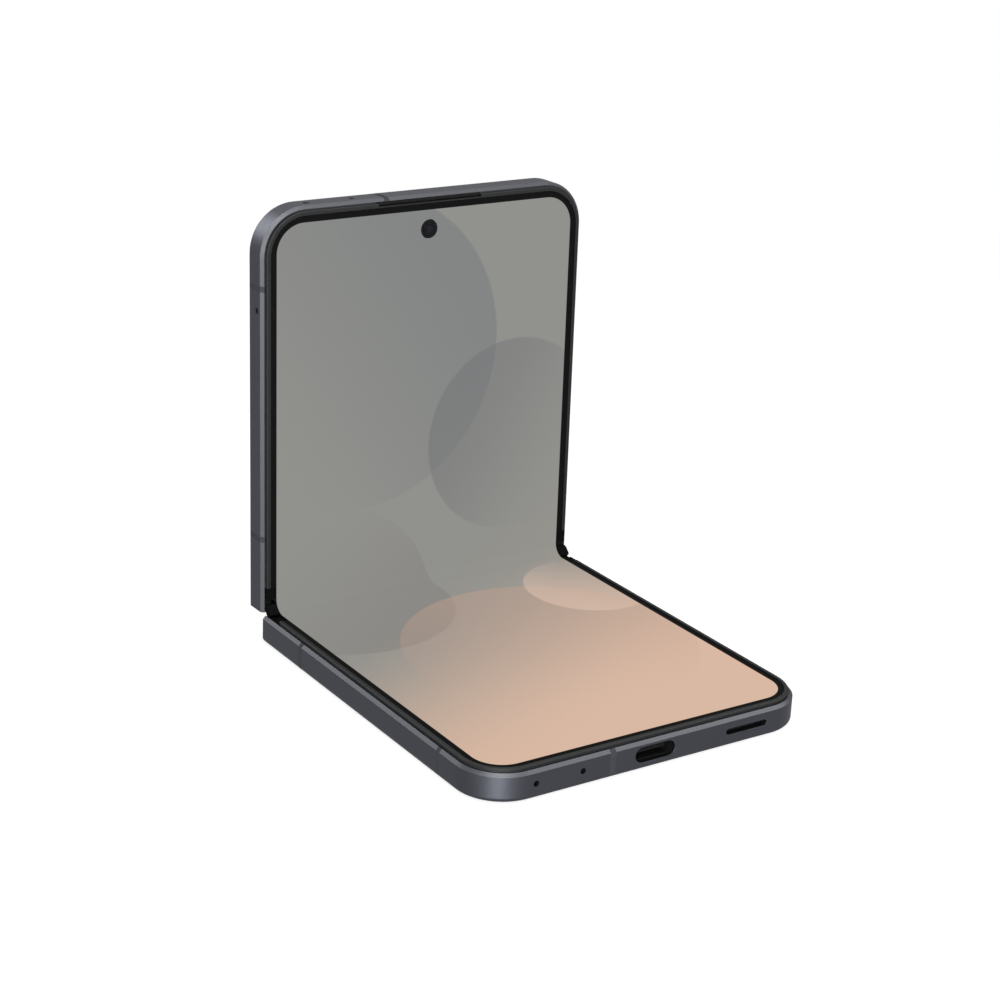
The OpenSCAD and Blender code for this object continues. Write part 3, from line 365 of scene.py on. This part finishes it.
def lens(name, centres, radius, shine=0.5, pupil=linear(16, 22, 40)):
    """Coated lenses on the upper half: dark rings about a faint blue pupil."""
    f = Finish(name)
    x, u, _ = half_place(f, "upper")
    nearest = None
    for cx, cu in centres:
        dx, du = x - cx, u - cu
        reach = f.maths("SQRT", dx * dx + du * du) / radius
        nearest = reach if nearest is None else f.maths("MINIMUM", nearest, reach)
    shade = f.mix(f.smooth(nearest, 0.28, 0.34), pupil, linear(5, 5, 7))
    step = f.smooth(f.maths("PINGPONG", nearest, 0.12), 0.05, 0.07)
    shade = f.mix(step * 0.5, shade, linear(22, 22, 26))
    shade = f.mix(f.smooth(nearest, 0.86, 0.9), shade, linear(8, 8, 9))
    f.surface(Base_Color=shade, Roughness=step * 0.1 + 0.06, Coat_Weight=shine,
              Specular_IOR_Level=shine)
    return f.material


def frosted(name, colour):
    """Etched glass back: soft sheen over a fine grain."""
    f = Finish(name)
    place = f.place()
    etch = f.noise(place, 14000, 2.0, 0.6)
    cloud = f.noise(place, 40, 2.0, 0.5)
    shade = f.mix(cloud, *tones(colour, 0.9, 1.1))
    f.surface(Base_Color=shade, Metallic=0.25, Roughness=etch * 0.1 + 0.4,
              Normal=f.bump(etch, 0.08, 0.00001))
    return f.material


def circuit(name):
    """Circuit board: solder mask with copper under it."""
    f = Finish(name)
    place = f.place()
    cells = f.node("ShaderNodeTexVoronoi", {"feature": "F1", "distance": "CHEBYCHEV"},
                   Vector=place, Scale=700)
    track = f.smooth(f.number(cells.outputs["Distance"]), 0.42, 0.46)
    shade = f.mix(track, linear(18, 62, 44), linear(48, 108, 74))
    f.surface(Base_Color=shade, Roughness=track * 0.15 + 0.3, Coat_Weight=0.4,
              Normal=f.bump(track, 0.3, 0.00003))
    return f.material


def wound(name, colour):
    """Wound copper: fine rings about the middle of the coil."""
    f = Finish(name)
    place = f.parts(f.place())
    centre = on_lower(0, COIL_U, 0)
    across, along = place[0] - centre.x, place[1] - centre.y
    radius = f.maths("SQRT", across * across + along * along)
    ridge = f.maths("SINE", radius * 21000)
    shade = f.mix(ridge * 0.5 + 0.5, tuple(c * 0.55 for c in colour), colour)
    f.surface(Base_Color=shade, Metallic=1.0, Roughness=0.3, Normal=f.bump(ridge, 0.4, 0.00004))
    return f.material


def lit_screen(name):
    """The lit picture on the display: soft discs over a gradient, inside a black border.

    The UV map gives millimetres: across, and along from the fold with the upper half positive.
    """
    f = Finish(name)
    uv = f.node("ShaderNodeUVMap", {"uv_map": "sheet"}).outputs["UV"]
    x, s, _ = f.parts(uv)
    # Distance to the edge of the lit rectangle with round corners
    edge_x = f.maths("ABSOLUTE", x) - (LIT_HALF_WIDTH - LIT_CORNER)
    edge_s = f.maths("ABSOLUTE", s) - (LIT_END - LIT_CORNER)
    out_x, out_s = f.maths("MAXIMUM", edge_x, 0.0), f.maths("MAXIMUM", edge_s, 0.0)
    outside = f.maths("SQRT", out_x * out_x + out_s * out_s)
    inside = f.maths("MINIMUM", f.maths("MAXIMUM", edge_x, edge_s), 0.0)
    lit = 1 - f.smooth(outside + inside - LIT_CORNER, -0.06, 0.06)
    # Ground: warm grey on the upper half, turning to peach towards the lower far end
    warm = f.smooth(s * -0.012 + x * 0.008 + 0.10, 0.0, 1.0)
    warmer = f.smooth(s * -0.014 + x * 0.006 - 0.12, 0.0, 0.9)
    ground = f.mix(warm, linear(143, 143, 139), linear(160, 152, 143))
    ground = f.mix(warmer, ground, linear(216, 183, 161))
    # Discs: each is shaded from a soft rim to nothing across it
    for cx, cs, radius, turn, depth, shade in DISCS:
        dx, ds = x - cx, s - cs
        reach = f.maths("SQRT", dx * dx + ds * ds)
        rim = 1 - f.smooth(reach, radius - 0.25, radius + 0.25)
        across = dx * math.cos(turn) + ds * math.sin(turn)
        fade = f.smooth(across, -radius, radius)
        ground = f.mix(rim * fade * depth, ground, linear(*shade))
    grain = f.noise(uv, 3.0, 2.0, 0.5) * 0.04 + 0.98
    picture = f.node("ShaderNodeVectorMath", {"operation": "SCALE"}, _0=ground)
    f.feed(picture.inputs["Scale"], lit * grain)
    f.surface(Base_Color=linear(10, 10, 10), Roughness=0.3, Specular_IOR_Level=0.02,
              Emission_Color=picture.outputs[0], Emission_Strength=1.0)
    return f.material


# Centre across and along, radius, direction of the shaded side, strength, colour
DISCS = [
    (-16, 52, 33, 0.6, 0.5, (112, 118, 122)),
    (22, 30, 21, 2.6, 0.55, (112, 114, 116)),
    (-22, -4, 24, -0.9, 0.50, (128, 124, 120)),
    (6, -40, 30, 1.2, 0.42, (190, 158, 140)),
    (31, -18, 14, 3.6, 0.40, (232, 202, 182)),
]


# ---------------------------------------------------------------- meshes

def new_piece(name, verts, faces, material, uvs=None, smooth=True):
    """A mesh piece from corners in metres, with normals outward."""
    mesh = bpy.data.meshes.new(name)
    mesh.from_pydata([tuple(v) for v in verts], [], faces)
    if uvs:
        layer = mesh.uv_layers.new(name="sheet")
        for loop in mesh.loops:
            layer.data[loop.index].uv = uvs[loop.vertex_index]
    for polygon in mesh.polygons:
        polygon.use_smooth = smooth
    mesh.set_sharp_from_angle(angle=math.radians(35))
    mesh.materials.append(material)
    piece = bpy.data.objects.new(name, mesh)
    bpy.context.collection.objects.link(piece)
    return piece


def corner_points(inset, count=24):
    """Half of a half's outline at its far end: x and u from the side round to the middle."""
    radius = CORNER_RADIUS - inset
    cx, cu = HALF_WIDTH - CORNER_RADIUS, HALF_LENGTH - CORNER_RADIUS
    return [(cx + radius * math.cos(a), cu + radius * math.sin(a))
            for a in [math.pi / 2 * i / count for i in range(count + 1)]]


def panel_outline():
    """Corners of the flat part of the display: x and u, all the way round."""
    edge = HALF_WIDTH - PANEL_INSET
    right = [(edge, BOND_U)] + corner_points(PANEL_INSET)
    return right + [(-x, u) for x, u in reversed(right)]


def punch_outline(count=48):
    return [(PUNCH_RADIUS * math.cos(a), PUNCH_U - PUNCH_RADIUS * math.sin(a))
            for a in [2 * math.pi * i / count for i in range(count)]]


def sheet_piece(name, rows, side, material, columns=24):
    """A closed sheet from rows: distance along it, half width, and a maker of places.

    The maker takes the distance across and a layer, 0 for one face and 1 for the other.
    """
    verts, uvs, faces = [], [], []
    wide = columns + 1
    for layer in (0, 1):
        for u, half, spot in rows:
            for c in range(wide):
                x = half * (2 * c / columns - 1)
                verts.append(spot(x, layer))
                uvs.append((x, side * u))
    count = len(rows)
    flip = side > 0
    for r in range(count - 1):
        for c in range(columns):
            a = r * wide + c
            quad = (a, a + 1, a + wide + 1, a + wide)
            back = tuple(i + count * wide for i in reversed(quad))
            faces += [quad, back]
    rim = ([c for c in range(wide)] + [r * wide + columns for r in range(1, count)]
           + [(count - 1) * wide + c for c in range(columns - 1, -1, -1)]
           + [r * wide for r in range(count - 2, 0, -1)])
    for i, a in enumerate(rim):
        b = rim[(i + 1) % len(rim)]
        faces.append((b, a, a + count * wide, b + count * wide))
    if not flip:
        faces = [tuple(reversed(f)) for f in faces]
    return new_piece(name, verts, faces, material, uvs)


def flat_sheet(name, place, side, material, holes=()):
    """The bonded part of the display on one half, with holes through it."""
    loops = [panel_outline(), *holes]
    flat = bmesh.new()
    edges = []
    for loop in loops:
        corners = [flat.verts.new((x, u, 0)) for x, u in loop]
        edges += [flat.edges.new((a, b)) for a, b in zip(corners, corners[1:] + corners[:1])]
    bmesh.ops.triangle_fill(flat, use_beauty=True, edges=edges, normal=(0, 0, 1))
    flat.verts.index_update()
    spots = [(v.co.x, v.co.y) for v in flat.verts]
    count = len(spots)
    faces = []
    for face in flat.faces:
        face.normal_update()
        front = [v.index for v in face.verts]
        if face.normal.z < 0:
            front.reverse()
        faces += [tuple(front), tuple(i + count for i in reversed(front))]
    flat.free()
    start = 0
    for loop in loops:
        size = len(loop)
        for i in range(size):
            a, b = start + i, start + (i + 1) % size
            faces.append((b, a, a + count, b + count))
        start += size
    verts = [place(x, u, -PANEL_DEPTH * layer) for layer in (0, 1) for x, u in spots]
    if side < 0:
        faces = [tuple(reversed(f)) for f in faces]
    return new_piece(name, verts, faces, material, [(x, side * u) for x, u in spots] * 2, False)


def fold_sheet(name, place, side, material, steps=20):
    """The free part of the display from one half's bond to the middle of the bend."""
    edge = HALF_WIDTH - PANEL_INSET
    rows = []

    def straight(u):
        return lambda x, layer: place(x, u, -PANEL_DEPTH * layer)

    def bent(angle):
        def spot(x, layer):
            reach = BEND_RADIUS + PANEL_DEPTH * layer
            return on_spine(x, side * reach * math.sin(angle),
                            BEND_CENTRE - reach * math.cos(angle))
        return spot

    # Beyond the bezel the sheet is as wide as the display, and it narrows to pass the fold's ends
    rows.append((BOND_U, edge, straight(BOND_U)))
    rows.append((BEZEL_END + 0.6, edge, straight(BEZEL_END + 0.6)))
    rows.append((BEZEL_END + 0.1, edge - 0.5, straight(BEZEL_END + 0.1)))
    rows.append((BEZEL_END - 0.2, FOLD_HALF_WIDTH, straight(BEZEL_END - 0.2)))
    rows.append((BEND_START + 0.4, FOLD_HALF_WIDTH, straight(BEND_START + 0.4)))
    for i in range(steps + 1):
        share = 1 - i / steps
        rows.append((BEND_START * share, FOLD_HALF_WIDTH, bent(REST_TURN * share)))
    rows.reverse()
    return sheet_piece(name, rows, side, material)


# ---------------------------------------------------------------- the display

# The free part is made in its rest bend only; it is not blended from the half to the spine here, and such a blend
# doesn't keep its length.

SCREEN = lit_screen("lit_screen")
for half, place, side in (("lower", on_lower, -1), ("upper", on_upper, 1)):
    holes = [punch_outline()] if half == "upper" else []
    screen = flat_sheet(f"{half}_screen", place, side, SCREEN, holes)
    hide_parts(f"{half}_display")
    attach(screen, f"{half}_half")
    fold = fold_sheet(f"{half}_screen_fold", place, side, SCREEN)
    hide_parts("display_fold")
    start = place(0, BEND_START, 0)
    middle = on_spine(0, 0, BEND_CENTRE - BEND_RADIUS)
    tuple(start)
    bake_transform(fold)

# ---------------------------------------------------------------- the flat cable in the hinge

# It is made in its rest bend only and is not blended here; such a blend doesn't keep its length either: it would
# be longest when the phone is shut

CABLE_FINISH = moulded("cable_coverlay", linear(24, 22, 20), 0.5)


def cable_spot(side, angle):
    """A maker of places on one half of the cable's bend, by its angle from the middle."""
    def spot(x, layer):
        reach = CABLE_RADIUS - CABLE_THICKNESS + CABLE_THICKNESS * layer
        return on_spine(x, side * reach * math.sin(angle), CABLE_CENTRE - reach * math.cos(angle))
    return spot


for half, side in (("lower", -1), ("upper", 1)):
    turns = [CABLE_TURN * i / CABLE_STEPS for i in range(CABLE_STEPS + 1)]
    rows = [(CABLE_RADIUS * a, CABLE_HALF_WIDTH, cable_spot(side, a)) for a in turns]
    cable = sheet_piece(f"{half}_cable", rows, side, CABLE_FINISH, CABLE_COLUMNS)
    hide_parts("hinge_flex")
    tuple(cable_spot(side, CABLE_HELD)(0, 1))
    tuple(cable_spot(side, CABLE_FREE)(0, 1))
    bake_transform(cable)

# ---------------------------------------------------------------- repeated small parts

def row_group():
    """Geometry Nodes that repeat one block in a straight row."""
    group = bpy.data.node_groups.new("row_of_blocks", "GeometryNodeTree")
    for label, kind in (("Count", "Int"), ("Start", "Vector"), ("Step", "Vector"),
                        ("Size", "Vector"), ("Turn", "Rotation"), ("Material", "Material")):
        group.interface.new_socket(name=label, in_out="INPUT", socket_type="NodeSocket" + kind)
    group.interface.new_socket(name="Row", in_out="OUTPUT", socket_type="NodeSocketGeometry")
    inputs, output = group.nodes.new("NodeGroupInput"), group.nodes.new("NodeGroupOutput")
    line = group.nodes.new("GeometryNodeMeshLine")
    block = group.nodes.new("GeometryNodeMeshCube")
    repeat = group.nodes.new("GeometryNodeInstanceOnPoints")
    real = group.nodes.new("GeometryNodeRealizeInstances")
    finish = group.nodes.new("GeometryNodeSetMaterial")
    for source, target in (
            (inputs.outputs["Count"], line.inputs["Count"]),
            (inputs.outputs["Start"], line.inputs["Start Location"]),
            (inputs.outputs["Step"], line.inputs["Offset"]),
            (inputs.outputs["Size"], block.inputs["Size"]),
            (line.outputs["Mesh"], repeat.inputs["Points"]),
            (block.outputs["Mesh"], repeat.inputs["Instance"]),
            (inputs.outputs["Turn"], repeat.inputs["Rotation"]),
            (repeat.outputs["Instances"], real.inputs["Geometry"]),
            (real.outputs["Geometry"], finish.inputs["Geometry"]),
            (inputs.outputs["Material"], finish.inputs["Material"]),
            (finish.outputs["Geometry"], output.inputs["Row"])):
        group.links.new(source, target)
    return group


ROW = row_group()


def row_of_blocks(name, count, place, start, step, size, turn, material, body):
    """A row of equal blocks on one half, given in millimetres across, along and above it."""
    holder = bpy.data.objects.new(name + "_maker", bpy.data.meshes.new(name + "_maker"))
    bpy.context.collection.objects.link(holder)
    modifier = holder.modifiers.new("row", "NODES")
    modifier.node_group = ROW
    first = place(*start)
    values = {"Count": count, "Start": tuple(first),
              "Step": tuple(place(*(a + b for a, b in zip(start, step))) - first),
              "Size": tuple(v * MM for v in size), "Turn": (turn, 0.0, 0.0),
              "Material": material}
    for socket in ROW.interface.items_tree:
        if socket.in_out == "INPUT":
            modifier[socket.identifier] = values[socket.name]
    shape = holder.evaluated_get(bpy.context.evaluated_depsgraph_get())
    piece = bpy.data.objects.new(name, bpy.data.meshes.new_from_object(shape))
    bpy.context.collection.objects.link(piece)
    bpy.data.objects.remove(holder)
    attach(piece, body)
    return piece


CONTACT_LEVEL, CONTACT_PITCH = 0.37, 0.5
MESH_PITCH = 0.4
GOLD = brushed("contact_gold", linear(206, 168, 96), 1, 0.3)
WIRE = moulded("mesh_wire", linear(20, 20, 21), 0.5)
for side, level in (("top", CONTACT_LEVEL), ("bottom", -CONTACT_LEVEL)):
    row_of_blocks(f"socket_contacts_{side}", 12, on_lower,
                  (-2.75, HALF_LENGTH - 3.4, level - PORT_DEPTH), (CONTACT_PITCH, 0, 0),
                  (0.25, 2.8, 0.04), 0.0, GOLD, "lower_half")
row_of_blocks("speaker_mesh_uprights", 22, on_lower, (SLOT_X - 4.2, 81.9, -PORT_DEPTH),
              (MESH_PITCH, 0, 0), (0.1, 0.05, 1.1), 0.0, WIRE, "lower_half")
row_of_blocks("speaker_mesh_rails", 4, on_lower, (SLOT_X, 81.96, -PORT_DEPTH - 0.45),
              (0, 0, 0.3), (8.9, 0.05, 0.08), 0.0, WIRE, "lower_half")
row_of_blocks("earpiece_mesh_wires", 59, on_upper, (-11.6, HALF_LENGTH - 0.97, -0.42),
              (MESH_PITCH, 0, 0), (0.12, 0.5, 0.04), 2 * REST_TURN, WIRE, "upper_half")

# ---------------------------------------------------------------- finishes of the CAD nodes

FRAME_COLOUR = linear(96, 98, 106)
EDGE_COLOUR = linear(92, 93, 97)
BLACK = moulded("seal_black", linear(4, 4, 4), 0.7, shine=0.04)
FINISHES = {
    "frame": anodised("frame_anodised", FRAME_COLOUR),
    "band": moulded("antenna_band", linear(38, 39, 43), 0.6, shine=0.15),
    "back_glass": frosted("back_glass_etched", linear(84, 86, 94)),
    "cover_glass": polished("cover_glass_black", linear(14, 14, 16)),
    "cover_panel": moulded("cover_panel", linear(22, 22, 24), 0.3),
    "bezel": moulded("bezel_soft", linear(17, 18, 19), 0.5, 0.1, shine=0.3),
    "display": moulded("display_back", linear(30, 30, 30), 0.4),
    "steel": brushed("steel_machined", linear(190, 190, 190)),
    "can": brushed("nickel_sheet", linear(200, 198, 190), 1, 0.3),
    "battery": moulded("battery_foil", linear(34, 34, 38), 0.35, 0.2, 0.2, 900),
    "board": circuit("circuit_board"),
    "black_plastic": moulded("black_plastic", linear(26, 26, 26), 0.5),
    "lens": lens("camera_lens", [(x, CAMERA_U) for x in CAMERA_XS], 5.2, 0.2),
    "ring": anodised("ring_anodised", linear(120, 122, 130), 0.3),
    "lamp": polished("lamp_diffuser", linear(236, 230, 206), 0.3),
    "copper": wound("coil_copper", linear(214, 140, 96)),
    "flex": moulded("flex_polyimide", linear(150, 92, 34), 0.35),
    "card": moulded("card_plastic", linear(226, 226, 220), 0.5),
}

SPECIAL = {
    "lower_frame": half_frame("lower_frame_anodised", "lower", FRAME_COLOUR),
    "upper_frame": half_frame("upper_frame_anodised", "upper", FRAME_COLOUR),
    "selfie_camera": lens("selfie_lens", [(0.0, PUNCH_U)], 1.9, 0.1, linear(14, 14, 17)),
    "usb_socket": moulded("socket_dark", linear(12, 12, 13), 0.5, shine=0.15),
    "card_tray": tray_metal("tray_anodised", FRAME_COLOUR),
}
for name in ("hinge_end_caps", "lower_fold_seals", "upper_fold_seals", "earpiece_mesh",
             "lower_microphones", "upper_microphones", "card_reader"):
    SPECIAL[name] = BLACK
for part in frame["record"]["subparts"]:
    node = frame["nodes"][part["node"]]
    node.data.materials.clear()
    node.data.materials.append(SPECIAL.get(part["node"], FINISHES[part["material_slot"]]))


# ---------------------------------------------------------------- floor, light and camera

def studio_floor():
    mesh = bpy.data.meshes.new("floor")
    reach = 3.0
    mesh.from_pydata([(-reach, -reach, 0), (reach, -reach, 0), (reach, reach, 0),
                      (-reach, reach, 0)], [], [(0, 1, 2, 3)])
    floor = bpy.data.objects.new("floor", mesh)
    bpy.context.collection.objects.link(floor)
    f = Finish("floor_paper")
    paper = f.node("ShaderNodeBsdfDiffuse", None, Color=linear(250, 250, 250))
    glow = f.node("ShaderNodeEmission", None, Color=(1.0, 1.0, 1.0, 1.0), Strength=1.0)
    rays = f.node("ShaderNodeLightPath")
    # White paper that keeps the contact shadow near the phone
    across, along, _ = f.parts(f.place())
    reach_out = f.maths("SQRT", across * across + along * along)
    shown = f.node("ShaderNodeMixShader", None, Fac=f.smooth(reach_out, 0.12, 0.45) * 0.25 + 0.75)
    f.tree.links.new(paper.outputs[0], shown.inputs[1])
    f.tree.links.new(glow.outputs[0], shown.inputs[2])
    seen = f.node("ShaderNodeMixShader", None, Fac=rays.outputs["Is Camera Ray"])
    f.tree.links.new(paper.outputs[0], seen.inputs[1])
    f.tree.links.new(shown.outputs[0], seen.inputs[2])
    # Mirrored in the phone, the floor is greyer, as paper that falls off into a dim room
    dim = f.node("ShaderNodeEmission", None, Color=(1.0, 1.0, 1.0, 1.0), Strength=0.38)
    mirrored = f.maths("MAXIMUM", f.number(rays.outputs["Is Glossy Ray"]),
                       f.number(rays.outputs["Is Transmission Ray"]))
    out = f.node("ShaderNodeMixShader", None, Fac=mirrored)
    f.tree.links.new(seen.outputs[0], out.inputs[1])
    f.tree.links.new(dim.outputs[0], out.inputs[2])
    f.tree.links.new(out.outputs[0], f.output.inputs["Surface"])
    mesh.materials.append(f.material)


def studio_world():
    world = bpy.data.worlds.new("studio")
    bpy.context.scene.world = world
    world.use_nodes = True
    tree = world.node_tree
    tree.nodes.clear()
    out = tree.nodes.new("ShaderNodeOutputWorld")
    back = tree.nodes.new("ShaderNodeBackground")
    back.inputs["Color"].default_value = (1, 1, 1, 1)
    rays = tree.nodes.new("ShaderNodeLightPath")
    level = tree.nodes.new("ShaderNodeMix")
    level.data_type = "FLOAT"
    tree.links.new(rays.outputs["Is Camera Ray"], level.inputs[0])
    level.inputs[2].default_value = 0.35
    level.inputs[3].default_value = 1.0
    tree.links.new(level.outputs[0], back.inputs["Strength"])
    tree.links.new(back.outputs[0], out.inputs["Surface"])


def area_lamp(name, place, target, size, power):
    lamp = bpy.data.lights.new(name, "AREA")
    lamp.shape = "RECTANGLE"
    lamp.size, lamp.size_y = size
    lamp.energy = power
    holder = bpy.data.objects.new(name, lamp)
    holder.location = place
    holder.rotation_euler = (Vector(target) - Vector(place)).to_track_quat("-Z", "Y").to_euler()
    bpy.context.collection.objects.link(holder)


def look_camera(place, yaw, pitch, roll, focal):
    """A camera that looks along yaw from +Y towards +X, pitched up, rolled, with a focal length
    given for a frame 36 mm wide."""
    ahead = Vector((math.sin(yaw) * math.cos(pitch), math.cos(yaw) * math.cos(pitch),
                    math.sin(pitch)))
    right = ahead.cross(Vector((0, 0, 1))).normalized()
    up = right.cross(ahead)
    right, up = (right * math.cos(roll) + up * math.sin(roll),
                 up * math.cos(roll) - right * math.sin(roll))
    camera = bpy.data.cameras.new("camera")
    camera.sensor_width = 36
    camera.lens = focal
    camera.clip_start = 0.01
    holder = bpy.data.objects.new("camera", camera)
    turn = Matrix((right, up, -ahead)).transposed().to_4x4()
    holder.matrix_world = Matrix.Translation(Vector(place)) @ turn
    bpy.context.collection.objects.link(holder)
    bpy.context.scene.camera = holder


studio_floor()
studio_world()
middle = (0.0, 0.0, 0.045)
area_lamp("key", (-0.35, -0.55, 0.75), middle, (0.6, 0.6), 6)
area_lamp("fill", (0.7, -0.5, 0.5), middle, (0.7, 0.7), 4)
area_lamp("top", (0.1, 0.2, 0.9), middle, (0.8, 0.8), 6)
area_lamp("corner", (-0.44, -0.6, 0.06), (-0.03, -0.04, 0.0), (0.1, 0.2), 12)
area_lamp("back", (-0.3, 0.65, 0.35), middle, (0.5, 0.3), 1.2)
look_camera((-0.234991, -0.337448, 0.188833), 0.595839, -0.354118, 0.046302, 81.171)
bpy.context.scene.view_settings.view_transform = "Standard"
